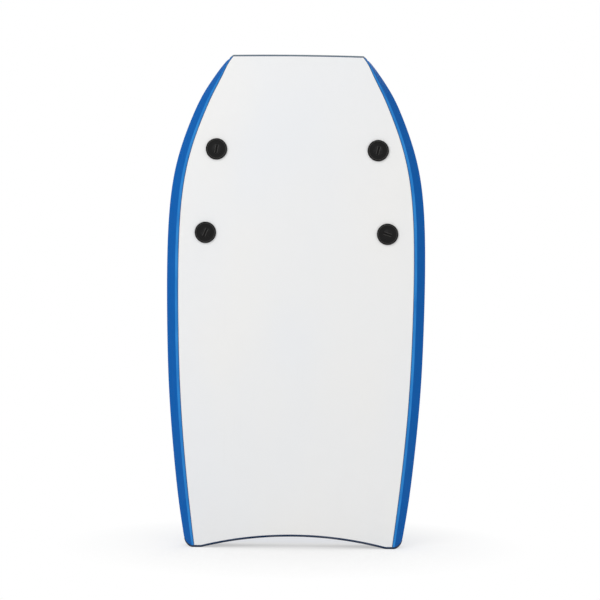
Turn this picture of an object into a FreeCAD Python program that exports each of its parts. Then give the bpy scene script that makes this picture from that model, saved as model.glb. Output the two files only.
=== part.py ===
import FreeCAD, Part
import math
import os
import Sketcher

from FreeCAD import Placement, Rotation, Vector

# A foam bodyboard, standing on its two tail tips with the nose up.
# +Z runs from tail to nose, +X to the right seen from the slick underside, and +Y from the slick to the
# deck. The origin is the bottom centre of the box that holds the whole board.
# Board pieces are drawn in the board's own frame, in which the slick face is the plane Y = 0.

document = FreeCAD.newDocument("bodyboard")
sheet = document.addObject("Spreadsheet::Sheet", "sizes")

SIZES = {
    # board
    "length": 1040,
    "width": 547.4,
    "thickness": 54,
    "slickSheet": 1,
    "deckSkin": 4,
    "glueLine": 0.15,
    "slickInset": 0.6,
    # rails
    "railBand": 25.3,
    "railRim": 6.4,
    "railApex": 10,
    "upperChine": 21,
    # nose
    "rockerRise": 12,
    "rockerLength": 172,
    "noseBow": 1.5,
    "noseStrip": 3,
    "noseCorner": 12,
    # tail
    "tailDepth": 24,
    "tailTipShare": 0.7088,
    "tailStrip": 4,
    "tailCorner": 18,
    # where the handles sit
    "handleSetback": 290,
    "handleInset": 60,
    "handleSplay": 7,
    "plugPitch": 177,
    # plugs
    "flangeRadius": 22.5,
    "flangeHeight": 3.4,
    "flangeFloor": 1.8,
    "rimWidth": 3.4,
    "bossRadius": 11,
    "bossHeight": 2.9,
    "barrelRadius": 8,
    "postRadius": 5.8,
    "threadPlay": 0.2,
    "holePlay": 0.3,
    "plugReach": 6,
    "seatPlay": 0.1,
    "slotLength": 18,
    "slotWidth": 4,
    "slotDepth": 2.4,
    "rimRound": 1.5,
    # handles
    "strapWidth": 32,
    "strapThickness": 2.4,
    "strapTab": 14,
    "strapEdge": 0.9,
    "strapPlay": 0.3,
    "handleRise": 33,
    "legAngle": 55,
    "footGap": 1.5,
    "footBend": 12,
    "topBend": 26,
    "gripWidth": 40,
    "gripThickness": 15,
    "gripCorner": 6.5,
    "gripLeg": 5,
    "gripPlay": 0.3,
}
for row, (alias, value) in enumerate(SIZES.items(), start=1):
    sheet.set(f"A{row}", alias)
    sheet.set(f"B{row}", str(value))
    sheet.setAlias(f"B{row}", alias)
document.recompute()


def size(alias):
    return float(sheet.get(alias))


length = size("length")
thickness = size("thickness")
glueLine = size("glueLine")
deckUnder = thickness - size("deckSkin")
apexLow = (thickness - size("railApex")) / 2
apexHigh = (thickness + size("railApex")) / 2

# The strap lies on the deck, under the flange of the deck plug, with the same play on both sides.
strapMiddle = size("strapPlay") + size("strapThickness") / 2
strapStack = size("strapThickness") + 2 * size("strapPlay")
gripTop = strapMiddle + size("handleRise") + size("gripThickness") / 2

# The board's place in depth puts the origin midway between the slick plugs and the tops of the grips.
plugProud = size("seatPlay") + size("flangeHeight")
slickFace = plugProud - (plugProud + thickness + gripTop) / 2
boardPlace = Placement(Vector(0, slickFace, 0), Rotation())
FAR = 2 * length


# ---------------------------------------------------------------- outline of the board

# How far along the board, then the half-width there and the rail's band, as shares of their full sizes.
OUTLINE = [
    (0.0, 0.835, 0.81),
    (0.08, 0.885, 0.93),
    (0.18, 0.9306, 0.97),
    (0.32, 0.9755, 1.0),
    (0.46, 0.9956, 1.0),
    (0.6, 0.9991, 1.0),
    (0.7, 0.981, 1.0),
    (0.77, 0.942, 1.0),
    (0.835, 0.8718, 0.98),
    (0.88, 0.8067, 0.97),
    (0.92, 0.7358, 0.91),
    (0.96, 0.6408, 0.68),
    (0.985, 0.571, 0.43),
    (1.0, 0.5206, 0.33),
]


def curveThrough(points, stations):
    curve = Part.BSplineCurve()
    curve.interpolate(Points=points, Parameters=stations)
    return curve


stationsOfOutline = [station for station, _, _ in OUTLINE]
shareOfWidth = curveThrough([Vector(share, 0, s) for s, share, _ in OUTLINE], stationsOfOutline)
shareOfBand = curveThrough([Vector(share, 0, s) for s, _, share in OUTLINE], stationsOfOutline)


def halfWidth(station):
    return shareOfWidth.value(station).x * size("width") / 2


def bandShare(station):
    return shareOfBand.value(station).x


def slickEdge(station):
    return halfWidth(station) - size("railBand") * bandShare(station)


def deckEdge(station):
    return halfWidth(station) - size("upperChine") * bandShare(station)


def chineAt(station, y):
    # half-width of the upper chine, which runs straight from the apex up to the deck's edge
    up = (y - apexHigh) / (thickness - apexHigh)
    return halfWidth(station) + up * (deckEdge(station) - halfWidth(station))


def rocker(station):
    # how far the nose has lifted towards the deck
    along = 1 - (1 - station) * length / size("rockerLength")
    return size("rockerRise") * max(along, 0) ** 2


rockerStart = 1 - size("rockerLength") / length
FLAT_SPAN = [s for s in stationsOfOutline if s < rockerStart - 0.01] + [rockerStart]
ROCKER_SPAN = [rockerStart] + [s for s in stationsOfOutline if s > rockerStart + 0.01]


def cornerPoint(corners, corner, station):
    x, y = corners(station)[corner]
    return Vector(x, y + rocker(station), station * length)


def cornerCurve(corners, corner, span):
    """The line that one corner of a section draws along a span, level with its neighbour where they meet."""
    step = 1e-4
    first, last = span[0], span[-1]
    points = [cornerPoint(corners, corner, station) for station in span]
    leaving = (cornerPoint(corners, corner, first + step) - points[0]) / step
    arriving = (points[-1] - cornerPoint(corners, corner, last - step)) / step
    curve = Part.BSplineCurve()
    curve.interpolate(Points=points, Parameters=span, InitialTangent=leaving, FinalTangent=arriving, Scale=False)
    return curve.toShape()


def levelFace(edges, i):
    # the flat face between two lines of the same height
    ends = [[edge.valueAt(edge.FirstParameter), edge.valueAt(edge.LastParameter)] for edge in edges]
    sides = [Part.LineSegment(ends[i - 1][end], ends[i][end]).toShape() for end in (0, 1)]
    return Part.Face(Part.Wire([edges[i - 1], sides[1], edges[i], sides[0]]))


def lengthwiseSolid(corners):
    """A solid whose section at every station is the polygon that corners(station) gives.

    The board is flat up to where the rocker starts, so level faces are planes as far as that."""
    heights = [y for _, y in corners(0.0)]
    faces = []
    for span in (FLAT_SPAN, ROCKER_SPAN):
        edges = [cornerCurve(corners, corner, span) for corner in range(len(heights))]
        for i in range(len(edges)):
            if span is FLAT_SPAN and heights[i - 1] == heights[i]:
                faces.append(levelFace(edges, i))
            else:
                faces.append(Part.makeRuledSurface(edges[i - 1], edges[i]))
    for station in (0.0, 1.0):
        loop = [cornerPoint(corners, corner, station) for corner in range(len(heights))]
        faces.append(Part.Face(Part.makePolygon(loop + loop[:1])))
    shell = Part.makeShell(faces)
    shell.sewShape()
    solid = Part.Solid(shell)
    if solid.Volume < 0:
        solid.reverse()
    return solid


def mirrored(right):
    # both halves of a section, from the corners of its right half
    return right + [(-x, y) for x, y in reversed(right)]


def slickCorners(station):
    edge = slickEdge(station) - size("slickInset")
    return mirrored([(edge, 0), (edge, size("slickSheet"))])


def coreCorners(station):
    edge = slickEdge(station)
    return mirrored([(edge, size("slickSheet") + glueLine), (edge, deckUnder - glueLine)])


def deckCorners(station):
    return mirrored([(chineAt(station, deckUnder), deckUnder), (deckEdge(station), thickness)])


def railCorners(station):
    inner = slickEdge(station) + glueLine
    rim = slickEdge(station) + size("railRim") * bandShare(station)
    top = deckUnder - glueLine
    return [
        (inner, 0),
        (rim, 0),
        (halfWidth(station), apexLow),
        (halfWidth(station), apexHigh),
        (chineAt(station, top), top),
        (inner, top),
    ]


def leftRailCorners(station):
    return [(-x, y) for x, y in reversed(railCorners(station))]


def wholeCorners(station):
    rim = slickEdge(station) + size("railRim") * bandShare(station)
    return mirrored(
        [
            (rim, 0),
            (halfWidth(station), apexLow),
            (halfWidth(station), apexHigh),
            (deckEdge(station), thickness),
        ]
    )


# ---------------------------------------------------------------- tail and nose ends


def outwardSlope(station):
    # how fast the half-width grows with height at an end of the board
    step = 0.002 if station < 0.5 else -0.002
    return (halfWidth(station + step) - halfWidth(station)) / (step * length)


def cornerArc(station, radius):
    """The arc, in X and Z, that rounds the corner between a level end line and the board's outline."""
    inward = 1 if station < 0.5 else -1
    slope = outwardSlope(station) * inward
    lean = math.hypot(1, slope)
    centreX = halfWidth(station) + slope * radius - lean * radius
    level = station * length
    centre = Vector(centreX, 0, level + inward * radius)
    start = Vector(centreX, 0, level)
    end = centre + Vector(radius / lean, 0, -inward * radius * slope / lean)
    middle = centre + ((start - centre) + (end - centre)).normalize() * radius
    return start, middle, end


def flipX(point):
    return Vector(-point.x, point.y, point.z)


def endProfile(rightEdges, corner, beyond):
    """An end line from far left to far right, closed far beyond the end of the board."""
    start, middle, end = corner
    wing = Vector(FAR, 0, end.z)
    leftEdges = [(flipX(b), flipX(m) if m else None, flipX(a)) for a, m, b in reversed(rightEdges)]
    runs = [
        (flipX(wing), None, flipX(end)),
        (flipX(end), flipX(middle), flipX(start)),
        *leftEdges,
        *rightEdges,
        (start, middle, end),
        (end, None, wing),
        (wing, None, Vector(FAR, 0, beyond)),
        (Vector(FAR, 0, beyond), None, Vector(-FAR, 0, beyond)),
        (Vector(-FAR, 0, beyond), None, flipX(wing)),
    ]
    edges = []
    for a, m, b in runs:
        edges.append(Part.Arc(a, m, b).toShape() if m else Part.LineSegment(a, b).toShape())
    face = Part.Face(Part.Wire(edges))
    prism = face.extrude(Vector(0, FAR, 0))
    prism.translate(Vector(0, -FAR / 2, 0))
    return prism


def tailBeyond(shift):
    """Everything beyond the tail's crescent, moved up the board by shift."""
    tip = size("tailTipShare") * size("width") / 2
    depth = size("tailDepth")
    radius = (tip**2 + depth**2) / (2 * depth)
    quarter = math.asin(tip / radius) / 2
    middle = Vector(radius * math.sin(quarter), 0, depth - radius * (1 - math.cos(quarter)))
    corner = cornerArc(0.0, size("tailCorner"))
    right = [(Vector(0, 0, depth), middle, Vector(tip, 0, 0)), (Vector(tip, 0, 0), None, corner[0])]
    prism = endProfile(right, corner, -FAR)
    prism.translate(Vector(0, 0, shift))
    return prism


def noseBeyond(shift):
    """Everything beyond the nose's bowed end, moved up the board by shift."""
    start, middle, end = cornerArc(1.0, size("noseCorner"))
    bow = size("noseBow")
    half = start.x
    radius = (half**2 + bow**2) / (2 * bow)
    quarter = math.asin(half / radius) / 2
    drop = Vector(0, 0, -bow)
    between = Vector(radius * math.sin(quarter), 0, length - radius * (1 - math.cos(quarter)))
    right = [(Vector(0, 0, length), between, start + drop)]
    prism = endProfile(right, (start + drop, middle + drop, end + drop), FAR)
    prism.translate(Vector(0, 0, shift))
    return prism


beyondTail = tailBeyond(0)
beyondNose = noseBeyond(0)
beyondTailStrip = tailBeyond(size("tailStrip"))
beyondNoseStrip = noseBeyond(-size("noseStrip"))
beyondTailFoam = tailBeyond(size("tailStrip") + glueLine)
beyondNoseFoam = noseBeyond(-size("noseStrip") - glueLine)


# ---------------------------------------------------------------- where the plugs go

handleStation = 1 - size("handleSetback") / length
handleX = slickEdge(handleStation) - size("handleInset")
handleZ = length - size("handleSetback")


def handlePlace(side):
    # a handle's own frame: Y out of the deck and Z along the line through its two plugs, leaning inwards
    lean = Rotation(Vector(0, 1, 0), -side * size("handleSplay"))
    return Placement(Vector(side * handleX, slickFace + thickness, handleZ), lean)


def plugPoint(side, end):
    # where a plug's axis meets the slick face, in the board's frame
    point = handlePlace(side).multVec(Vector(0, 0, end * size("plugPitch") / 2))
    return Vector(point.x, 0, point.z)


# Each plug's name, its side, its end, and how its coin slot was left turned.
PLUGS = [
    ("left_front", -1, 1, -80),
    ("right_front", 1, 1, -77),
    ("left_rear", -1, -1, -67),
    ("right_rear", 1, -1, 18),
]


# ---------------------------------------------------------------- foam, skins and strips


def boardFeature(label, shape):
    feature = document.addObject("Part::Feature", label)
    feature.Label = label
    feature.Shape = shape
    feature.Placement = boardPlace
    return feature


holes = []
for name, side, end, _ in PLUGS:
    hole = document.addObject("Part::Cylinder", f"{name}_hole")
    hole.setExpression("Radius", "sizes.barrelRadius + sizes.holePlay")
    hole.setExpression("Height", "2 * sizes.thickness")
    at = plugPoint(side, end)
    hole.Placement = Placement(Vector(at.x, slickFace - thickness / 2, at.z), Rotation(Vector(1, 0, 0), -90))
    holes.append(hole)
drillings = document.addObject("Part::MultiFuse", "drillings")
drillings.Shapes = holes
document.recompute()


def drilled(label, shape):
    """A layer of the board with the four plug holes through it."""
    blank = boardFeature(f"{label}_blank", shape)
    cut = document.addObject("Part::Cut", label)
    cut.Label = label
    cut.Base = blank
    cut.Tool = drillings
    return cut


def betweenStrips(corners):
    return lengthwiseSolid(corners).cut(beyondTailFoam).cut(beyondNoseFoam)


wholeBoard = lengthwiseSolid(wholeCorners).cut(beyondTail).cut(beyondNose)

subparts = [
    drilled("slick_bottom", betweenStrips(slickCorners)),
    drilled("foam_core", betweenStrips(coreCorners)),
    drilled("deck_skin", betweenStrips(deckCorners)),
    boardFeature("left_rail", betweenStrips(leftRailCorners)),
    boardFeature("right_rail", betweenStrips(railCorners)),
    boardFeature("nose_strip", wholeBoard.common(beyondNoseStrip)),
    boardFeature("tail_strip", wholeBoard.common(beyondTailStrip)),
]


# ---------------------------------------------------------------- helpers for bodies and sketches


def newBody(label, place):
    body = document.addObject("PartDesign::Body", label)
    body.Label = label
    body.Placement = place
    subparts.append(body)
    return body


def newSketch(body, name, role):
    sketch = body.newObject("Sketcher::SketchObject", f"{body.Name}_{name}")
    plane = next(feature for feature in body.Origin.OriginFeatures if feature.Role == role)
    sketch.AttachmentSupport = [(plane, "")]
    sketch.MapMode = "FlatFace"
    return sketch


def worth(expression):
    return float(sheet.evalExpression(expression))


def bound(sketch, kind, *where, to):
    """Adds a dimension whose value follows an expression of the sheet."""
    index = sketch.addConstraint(Sketcher.Constraint(kind, *where, worth(to)))
    sketch.setExpression(f"Constraints[{index}]", to)


def pin(sketch, line, end, x, y):
    """Holds one end of a line at a place that two expressions give."""
    for kind, expression, axis in (("DistanceX", x, -2), ("DistanceY", y, -1)):
        if expression == "0":
            sketch.addConstraint(Sketcher.Constraint("PointOnObject", line, end, axis))
        else:
            bound(sketch, kind, -1, 1, line, end, to=expression)


def polygonSketch(body, name, role, corners):
    sketch = newSketch(body, name, role)
    spots = [Vector(worth(x), worth(y), 0) for x, y in corners]
    count = len(spots)
    for i in range(count):
        sketch.addGeometry(Part.LineSegment(spots[i], spots[(i + 1) % count]), False)
    for i in range(count):
        sketch.addConstraint(Sketcher.Constraint("Coincident", i, 2, (i + 1) % count, 1))
    for i, (x, y) in enumerate(corners):
        pin(sketch, i, 1, x, y)
    return sketch


def roundedRectangle(body, name, role, wide, high, radius, middle):
    """A rectangle centred on the sketch's Y axis at the height middle, with round corners."""
    sketch = newSketch(body, name, role)
    halfWide, halfHigh, r, y = worth(wide) / 2, worth(high) / 2, worth(radius), worth(middle)
    spots = []
    for across, up in ((1, 1), (-1, 1), (-1, -1), (1, -1)):
        spots.append((Vector(across * (halfWide - r), y + up * (halfHigh - r), 0), across, up))
    for i, (centre, across, up) in enumerate(spots):
        start = math.atan2(up, across) - math.pi / 4
        circle = Part.Circle(centre, Vector(0, 0, 1), r)
        sketch.addGeometry(Part.ArcOfCircle(circle, start, start + math.pi / 2), False)
    for i, (centre, across, up) in enumerate(spots):
        start = math.atan2(up, across) - math.pi / 4
        after, _, _ = spots[(i + 1) % 4]
        side = Vector(math.cos(start + math.pi / 2), math.sin(start + math.pi / 2), 0) * r
        sketch.addGeometry(Part.LineSegment(centre + side, after + side), False)
    for i in range(4):
        sketch.addConstraint(Sketcher.Constraint("Tangent", i, 2, 4 + i, 1))
        sketch.addConstraint(Sketcher.Constraint("Tangent", 4 + i, 2, (i + 1) % 4, 1))
    for i in (1, 2, 3):
        sketch.addConstraint(Sketcher.Constraint("Equal", 0, i))
    sketch.addConstraint(Sketcher.Constraint("Horizontal", 4))
    sketch.addConstraint(Sketcher.Constraint("Vertical", 5))
    bound(sketch, "Radius", 0, to=radius)
    bound(sketch, "DistanceX", 1, 3, 0, 3, to=f"{wide} - 2 * {radius}")
    bound(sketch, "DistanceY", 3, 3, 0, 3, to=f"{high} - 2 * {radius}")
    bound(sketch, "DistanceX", -1, 1, 0, 3, to=f"({wide}) / 2 - {radius}")
    bound(sketch, "DistanceY", -1, 1, 0, 3, to=f"{middle} + ({high}) / 2 - {radius}")
    return sketch


def edgesWhere(feature, test):
    return [f"Edge{i}" for i, edge in enumerate(feature.Shape.Edges, start=1) if test(edge)]


def fillet(body, name, base, edges, radius):
    feature = body.newObject("PartDesign::Fillet", f"{body.Name}_{name}")
    feature.Base = (base, edges)
    feature.setExpression("Radius", radius)
    return feature


def circleAt(edge, radius, y):
    curve = edge.Curve
    if not isinstance(curve, Part.Circle):
        return False
    return abs(curve.Radius - radius) < 1e-6 and abs(curve.Center.y - y) < 1e-6


# ---------------------------------------------------------------- plugs

# A plug's own frame has Y = 0 at the top of its rim, and +Y into the board.
RIM_INNER = "sizes.flangeRadius - sizes.rimWidth"
FLOOR = "sizes.flangeHeight - sizes.flangeFloor"


def plugBody(label, place, profile):
    body = newBody(label, place)
    section = polygonSketch(body, "section", "XY_Plane", profile)
    turned = body.newObject("PartDesign::Revolution", f"{label}_turned")
    turned.Profile = section
    turned.ReferenceAxis = (section, ["V_Axis"])
    turned.Angle = 360
    document.recompute()
    rims = [size("flangeRadius"), size("flangeRadius") - size("rimWidth")]
    tops = edgesWhere(turned, lambda edge: any(circleAt(edge, radius, 0) for radius in rims))
    fillet(body, "rim", turned, tops, "min(sizes.rimRound; 0.48 * sizes.rimWidth)")
    document.recompute()
    return body


def screwPlug(name, side, end, slotTurn):
    """The slotted half: a flange on the slick and a threaded post, drawn at its mean radius."""
    at = plugPoint(side, end)
    place = Placement(Vector(at.x, slickFace - plugProud, at.z), Rotation(Vector(0, 1, 0), slotTurn))
    postEnd = "sizes.flangeHeight + sizes.seatPlay + sizes.thickness - sizes.plugReach"
    bossTop = "sizes.flangeHeight - sizes.bossHeight"
    body = plugBody(
        f"{name}_slotted_plug",
        place,
        [
            ("0", bossTop),
            ("sizes.bossRadius", bossTop),
            ("sizes.bossRadius", FLOOR),
            (RIM_INNER, FLOOR),
            (RIM_INNER, "0"),
            ("sizes.flangeRadius", "0"),
            ("sizes.flangeRadius", "sizes.flangeHeight"),
            ("sizes.postRadius", "sizes.flangeHeight"),
            ("sizes.postRadius", postEnd),
            ("0", postEnd),
        ],
    )
    slot = newSketch(body, "slot", "XZ_Plane")
    halfLong, halfWide = size("slotLength") / 2, size("slotWidth") / 2
    corners = [Vector(x * halfLong, z * halfWide, 0) for x, z in ((-1, -1), (1, -1), (1, 1), (-1, 1))]
    for i in range(4):
        slot.addGeometry(Part.LineSegment(corners[i], corners[(i + 1) % 4]), False)
    for i in range(4):
        slot.addConstraint(Sketcher.Constraint("Coincident", i, 2, (i + 1) % 4, 1))
        slot.addConstraint(Sketcher.Constraint("Vertical" if i % 2 else "Horizontal", i))
    slot.addConstraint(Sketcher.Constraint("Symmetric", 0, 1, 2, 1, -1, 1))
    bound(slot, "DistanceX", 0, 1, 0, 2, to="sizes.slotLength")
    bound(slot, "DistanceY", 1, 1, 1, 2, to="sizes.slotWidth")
    before = body.Shape.Volume
    pocket = body.newObject("PartDesign::Pocket", f"{name}_coin_slot")
    pocket.Profile = slot
    pocket.setExpression("Length", f"{bossTop} + sizes.slotDepth")
    document.recompute()
    assert body.Shape.Volume < before, "the coin slot cut nothing"


def deckPlug(name, side, end):
    """The deck half: a flange that clamps the strap, and a barrel that the other half screws into."""
    at = plugPoint(side, end)
    top = slickFace + thickness + strapStack + size("flangeHeight")
    place = Placement(Vector(at.x, top, at.z), Rotation(Vector(0, 0, 1), 180))
    deck = "sizes.flangeHeight + sizes.strapThickness + 2 * sizes.strapPlay"
    barrelEnd = f"{deck} + sizes.thickness - sizes.plugReach"
    bore = "sizes.postRadius + sizes.threadPlay"
    plugBody(
        f"{name}_deck_plug",
        place,
        [
            ("0", FLOOR),
            (RIM_INNER, FLOOR),
            (RIM_INNER, "0"),
            ("sizes.flangeRadius", "0"),
            ("sizes.flangeRadius", "sizes.flangeHeight"),
            ("sizes.barrelRadius", "sizes.flangeHeight"),
            ("sizes.barrelRadius", barrelEnd),
            (bore, barrelEnd),
            (bore, deck),
            ("0", deck),
        ],
    )


for name, side, end, slotTurn in PLUGS:
    screwPlug(name, side, end, slotTurn)
    deckPlug(name, side, end)


# ---------------------------------------------------------------- handles

STRAP_LOW = "sizes.strapPlay + sizes.strapThickness / 2"
STRAP_HIGH = f"{STRAP_LOW} + sizes.handleRise"
STRAP_END = "sizes.plugPitch / 2 + sizes.strapTab"
FOOT_START = "sizes.plugPitch / 2 - sizes.flangeRadius - sizes.footGap"
BENDS = "(sizes.topBend + sizes.footBend)"
LEG = f"(sizes.handleRise - {BENDS} * (1 - cos(sizes.legAngle))) / sin(sizes.legAngle)"
FLAT = f"{FOOT_START} - {BENDS} * sin(sizes.legAngle) - {LEG} * cos(sizes.legAngle)"


def archPath(body, leg):
    """The middle line of half an arch, from its top down a leg as long as the expression leg says.

    In the sketch, X is the height over the deck and Y runs along the line of the plugs."""
    sketch = newSketch(body, "path", "YZ_Plane")
    angle = math.radians(size("legAngle"))
    topEnd = Vector(worth(STRAP_HIGH), worth(FLAT), 0)
    bendCentre = topEnd - Vector(size("topBend"), 0, 0)
    legStart = bendCentre + Vector(math.cos(angle), math.sin(angle), 0) * size("topBend")
    legEnd = legStart + Vector(-math.sin(angle), math.cos(angle), 0) * worth(leg)
    bend = Part.Circle(bendCentre, Vector(0, 0, 1), size("topBend"))
    sketch.addGeometry(Part.LineSegment(Vector(topEnd.x, 0, 0), topEnd), False)
    sketch.addGeometry(Part.ArcOfCircle(bend, 0, angle), False)
    sketch.addGeometry(Part.LineSegment(legStart, legEnd), False)
    sketch.addConstraint(Sketcher.Constraint("Vertical", 0))
    sketch.addConstraint(Sketcher.Constraint("Tangent", 0, 2, 1, 1))
    sketch.addConstraint(Sketcher.Constraint("Tangent", 1, 2, 2, 1))
    pin(sketch, 0, 1, STRAP_HIGH, "0")
    bound(sketch, "DistanceY", 0, 1, 0, 2, to=FLAT)
    bound(sketch, "Radius", 1, to="sizes.topBend")
    bound(sketch, "Distance", 2, to=leg)
    index = sketch.addConstraint(Sketcher.Constraint("Angle", 2, math.pi / 2 + angle))
    sketch.setExpression(f"Constraints[{index}]", "90 + sizes.legAngle")
    return sketch


def addFoot(sketch):
    """Carries the path on round the bend at the leg's foot and along the deck to the strap's end."""
    angle = math.radians(size("legAngle"))
    foot = size("footBend")
    centre = Vector(worth(STRAP_LOW) + foot, worth(FOOT_START), 0)
    bend = Part.Circle(centre, Vector(0, 0, 1), foot)
    tabStart = centre - Vector(foot, 0, 0)
    tabEnd = Vector(tabStart.x, worth(STRAP_END), 0)
    sketch.addGeometry(Part.ArcOfCircle(bend, math.pi, math.pi + angle), False)
    sketch.addGeometry(Part.LineSegment(tabStart, tabEnd), False)
    sketch.addConstraint(Sketcher.Constraint("Tangent", 2, 2, 3, 2))
    sketch.addConstraint(Sketcher.Constraint("Tangent", 3, 1, 4, 1))
    bound(sketch, "Radius", 3, to="sizes.footBend")
    sketch.addConstraint(Sketcher.Constraint("Vertical", 4))
    bound(sketch, "DistanceY", -1, 1, 4, 2, to=STRAP_END)


def pipe(body, kind, name, profile, path, edges):
    feature = body.newObject(f"PartDesign::{kind}Pipe", f"{body.Name}_{name}")
    feature.Profile = profile
    feature.Spine = (path, edges)
    document.recompute()
    return feature


def mirrorAboutMiddle(body, features):
    plane = next(feature for feature in body.Origin.OriginFeatures if feature.Role == "XY_Plane")
    feature = body.newObject("PartDesign::Mirrored", f"{body.Name}_mirrored")
    feature.Originals = features
    feature.MirrorPlane = (plane, [""])
    body.Tip = feature
    document.recompute()
    return feature


def strap(name, side):
    """Flat webbing, punched for the two barrels."""
    body = newBody(f"{name}_strap", handlePlace(side))
    path = archPath(body, LEG)
    addFoot(path)
    section = roundedRectangle(
        body, "section", "XY_Plane", "sizes.strapWidth", "sizes.strapThickness", "sizes.strapEdge", STRAP_HIGH
    )
    document.recompute()
    half = pipe(body, "Additive", "half", section, path, ["Edge1", "Edge2", "Edge3", "Edge4", "Edge5"])
    eye = newSketch(body, "eye", "XZ_Plane")
    eye.addGeometry(Part.Circle(Vector(0, size("plugPitch") / 2, 0), Vector(0, 0, 1), size("barrelRadius")), False)
    eye.addConstraint(Sketcher.Constraint("PointOnObject", 0, 3, -2))
    bound(eye, "DistanceY", -1, 1, 0, 3, to="sizes.plugPitch / 2")
    bound(eye, "Radius", 0, to="sizes.barrelRadius + sizes.holePlay")
    before = body.Shape.Volume
    punched = body.newObject("PartDesign::Pocket", f"{name}_eye_cut")
    punched.Profile = eye
    punched.Type = "ThroughAll"
    document.recompute()
    assert body.Shape.Volume < before, "the eye cut nothing"
    mirrorAboutMiddle(body, [half, punched])


def grip(name, side):
    """A foam sleeve, slit lengthwise for the strap."""
    body = newBody(f"{name}_grip", handlePlace(side))
    path = archPath(body, "sizes.gripLeg")
    outside = roundedRectangle(
        body, "outside", "XY_Plane", "sizes.gripWidth", "sizes.gripThickness", "sizes.gripCorner", STRAP_HIGH
    )
    slit = roundedRectangle(
        body,
        "slit",
        "XY_Plane",
        "sizes.strapWidth + 2 * sizes.gripPlay",
        "sizes.strapThickness + 2 * sizes.gripPlay",
        "sizes.strapEdge",
        STRAP_HIGH,
    )
    document.recompute()
    edges = ["Edge1", "Edge2", "Edge3"]
    foam = pipe(body, "Additive", "foam", outside, path, edges)
    before = body.Shape.Volume
    hollow = pipe(body, "Subtractive", "hollow", slit, path, edges)
    assert body.Shape.Volume < before, "the slit cut nothing"
    mirrorAboutMiddle(body, [foam, hollow])


for name, side in (("left", -1), ("right", 1)):
    strap(name, side)
    grip(name, side)


# ---------------------------------------------------------------- checks and files

document.recompute()
for thing in document.Objects:
    faults = {"Invalid", "Error"} & set(thing.State)
    assert not faults, f"{thing.Name} is {faults}"
for part in subparts:
    assert not part.Shape.isNull() and part.Shape.isValid(), f"{part.Label} has no valid shape"

os.makedirs("parts", exist_ok=True)
for part in subparts:
    part.Shape.exportStep(f"parts/{part.Label}.step")
    box = part.Shape.BoundBox
    print(
        f"{part.Label}: {len(part.Shape.Solids)} solid, {part.Shape.Volume / 1000:.1f} cm3,",
        f"X {box.XMin:.1f} to {box.XMax:.1f}, Y {box.YMin:.1f} to {box.YMax:.1f}, Z {box.ZMin:.1f} to {box.ZMax:.1f}",
    )
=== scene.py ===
import bpy, bmesh, math
import numpy as np
from mathutils import Matrix, Vector


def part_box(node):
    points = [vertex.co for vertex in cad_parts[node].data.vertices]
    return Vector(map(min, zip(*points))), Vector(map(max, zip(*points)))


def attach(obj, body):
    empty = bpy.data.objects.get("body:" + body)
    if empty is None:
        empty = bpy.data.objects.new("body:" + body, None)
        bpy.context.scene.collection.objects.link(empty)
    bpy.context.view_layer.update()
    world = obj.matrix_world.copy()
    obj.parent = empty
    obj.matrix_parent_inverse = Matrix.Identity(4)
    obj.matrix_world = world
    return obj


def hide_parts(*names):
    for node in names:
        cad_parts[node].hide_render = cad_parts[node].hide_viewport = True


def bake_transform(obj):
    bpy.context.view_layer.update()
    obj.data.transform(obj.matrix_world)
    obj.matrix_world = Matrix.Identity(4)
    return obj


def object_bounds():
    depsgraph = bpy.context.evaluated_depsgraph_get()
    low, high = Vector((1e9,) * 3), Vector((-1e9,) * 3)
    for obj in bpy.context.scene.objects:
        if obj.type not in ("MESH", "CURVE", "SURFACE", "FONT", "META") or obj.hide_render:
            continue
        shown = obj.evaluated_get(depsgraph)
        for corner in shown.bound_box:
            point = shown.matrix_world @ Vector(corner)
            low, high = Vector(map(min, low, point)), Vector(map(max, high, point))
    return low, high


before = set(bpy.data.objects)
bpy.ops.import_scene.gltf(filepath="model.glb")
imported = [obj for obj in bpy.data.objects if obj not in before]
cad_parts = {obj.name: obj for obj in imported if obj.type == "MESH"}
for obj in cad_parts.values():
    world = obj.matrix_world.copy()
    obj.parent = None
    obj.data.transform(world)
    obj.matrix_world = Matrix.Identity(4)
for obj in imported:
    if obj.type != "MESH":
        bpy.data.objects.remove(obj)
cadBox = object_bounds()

mm = 0.001
scene = bpy.context.scene
print("frame loaded")


def addPiece(name, mesh, material):
    piece = bpy.data.objects.new(name, mesh)
    scene.collection.objects.link(piece)
    if material:
        mesh.materials.append(material)
    return piece


def meshFrom(name, points, faces, turnOut=True):
    mesh = bpy.data.meshes.new(name)
    mesh.from_pydata([tuple(p) for p in points], [], faces)
    if turnOut:
        shape = bmesh.new()
        shape.from_mesh(mesh)
        bmesh.ops.recalc_face_normals(shape, faces=shape.faces)
        shape.to_mesh(mesh)
        shape.free()
    mesh.polygons.foreach_set("use_smooth", [True] * len(mesh.polygons))
    return mesh


def sharpenBy(mesh, degrees):
    # splits the shading where two faces meet at more than this
    mesh.set_sharp_from_angle(angle=math.radians(degrees))


def softRing(corners, radii, steps, between):
    # a polygon with its corners rounded, always with the same number of points
    corners = [Vector(c) for c in corners]
    count, arcs = len(corners), []
    for i in range(count):
        at = corners[i]
        back, on = corners[i - 1] - at, corners[(i + 1) % count] - at
        turn = back.angle(on, math.pi)
        reach = min(radii[i] / max(math.tan(turn / 2), 1e-3), back.length * 0.48, on.length * 0.48)
        arcs.append((at + back.normalized() * reach, at, at + on.normalized() * reach))
    ring = []
    for i, (start, at, end) in enumerate(arcs):
        for k in range(steps + 1):
            t = k / steps
            ring.append(start.lerp(at, t).lerp(at.lerp(end, t), t))
        for k in range(between[i]):
            ring.append(end.lerp(arcs[(i + 1) % count][0], (k + 1) / (between[i] + 1)))
    return ring


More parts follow.
